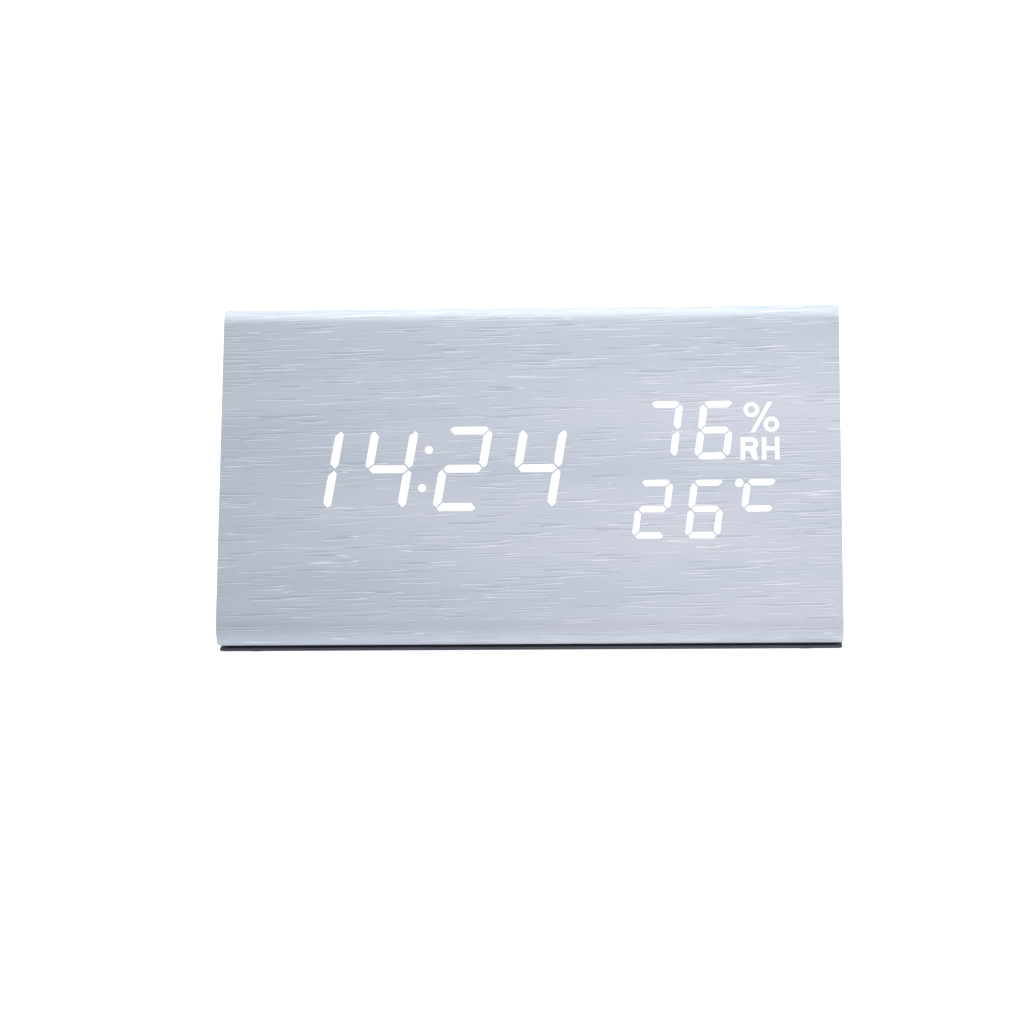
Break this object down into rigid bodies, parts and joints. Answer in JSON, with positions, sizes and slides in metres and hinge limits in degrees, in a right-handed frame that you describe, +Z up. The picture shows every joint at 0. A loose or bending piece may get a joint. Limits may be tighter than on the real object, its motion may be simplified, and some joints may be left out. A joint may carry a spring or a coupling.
{
  "type": "digital alarm clock",
  "caption": "Tent-shaped wooden table clock whose lit time, humidity and temperature shine through the sloping front, with push buttons on the back and a hinged battery door underneath.",
  "frame": {"origin": "on the floor under the middle of the case", "axes": "+Z up, +X to the right of one who looks at the display, the display faces -Y and the buttons face +Y"},
  "size_m": [0.15, 0.07, 0.08],
  "materials": {
    "wood_core": "pale fibreboard core",
    "wood_veneer": "pale cool-grey wood grain with fine embossed streaks, satin",
    "dark_plastic": "dark blue-grey, fine matt texture",
    "black_plastic": "black, fine matt texture",
    "foot_rubber": "black, dull",
    "display_light": "white diffusing light guide, lit",
    "circuit_board": "green solder mask",
    "steel": "plain steel",
    "bright_metal": "nickel plate",
    "sensor_shell": "blue moulded shell",
    "connector_plastic": "ivory moulded nylon",
    "ribbon": "grey flat cable",
    "cell_wrap": "plain grey wrapper",
    "red_wire": "red insulation",
    "black_wire": "black insulation"
  },
  "bodies": {
    "case": {"wood_shell": "wood_core", "veneer_wrap": "wood_veneer", "end_panel_left": "wood_veneer", "end_panel_right": "wood_veneer", "base_plate": "dark_plastic", "rubber_foot_front_left": "foot_rubber", "rubber_foot_front_right": "foot_rubber", "rubber_foot_rear_left": "foot_rubber", "rubber_foot_rear_right": "foot_rubber", "base_screw_front_left": "steel", "base_screw_front_right": "steel", "base_screw_rear_left": "steel", "base_screw_rear_right": "steel", "battery_cell_front_left": "cell_wrap", "battery_cell_front_right": "cell_wrap", "battery_cell_rear_right": "cell_wrap", "battery_cell_rear_left": "cell_wrap", "negative_contact": "steel", "positive_contact": "steel", "bridge_contact": "steel", "red_lead": "red_wire", "black_lead": "black_wire", "ribbon_cable": "ribbon", "display_frame": "black_plastic", "time_light_guide": "display_light", "humidity_light_guide": "display_light", "temperature_light_guide": "display_light", "display_board": "circuit_board", "display_screw_lower_left": "steel", "display_screw_lower_right": "steel", "display_screw_upper_left": "steel", "display_screw_upper_right": "steel", "display_connector": "connector_plastic", "rear_panel": "black_plastic", "rear_panel_screw_left": "steel", "rear_panel_screw_right": "steel", "set_switch": "steel", "up_switch": "steel", "down_switch": "steel", "main_board": "circuit_board", "main_board_screw_left": "steel", "main_board_screw_right": "steel", "power_socket": "black_plastic", "power_socket_pin": "bright_metal", "climate_sensor": "sensor_shell", "microphone": "bright_metal", "buzzer": "black_plastic", "coin_cell_holder": "black_plastic", "coin_cell": "bright_metal", "controller_chip": "black_plastic", "crystal": "bright_metal", "main_connector": "connector_plastic"},
    "set_key": {"set_button": "black_plastic", "set_switch_plunger": "black_plastic"},
    "up_key": {"up_button": "black_plastic", "up_switch_plunger": "black_plastic"},
    "down_key": {"down_button": "black_plastic", "down_switch_plunger": "black_plastic"},
    "door": {"battery_door": "dark_plastic"}
  },
  "joints": [
    {"name": "set_button_press", "type": "slide", "parent": "case", "child": "set_key", "axis": [0, -0.915, -0.4034], "range_m": [0, 0.0005], "stiffness_N_per_m": 2400},
    {"name": "up_button_press", "type": "slide", "parent": "case", "child": "up_key", "axis": [0, -0.915, -0.4034], "range_m": [0, 0.0005], "stiffness_N_per_m": 2400},
    {"name": "down_button_press", "type": "slide", "parent": "case", "child": "down_key", "axis": [0, -0.915, -0.4034], "range_m": [0, 0.0005], "stiffness_N_per_m": 2400},
    {"name": "battery_door_hinge", "type": "hinge", "parent": "case", "child": "door", "pos_m": [0, 0.0102, 0.00125], "axis": [1, 0, 0], "range_deg": [0, 85]}
  ]
}
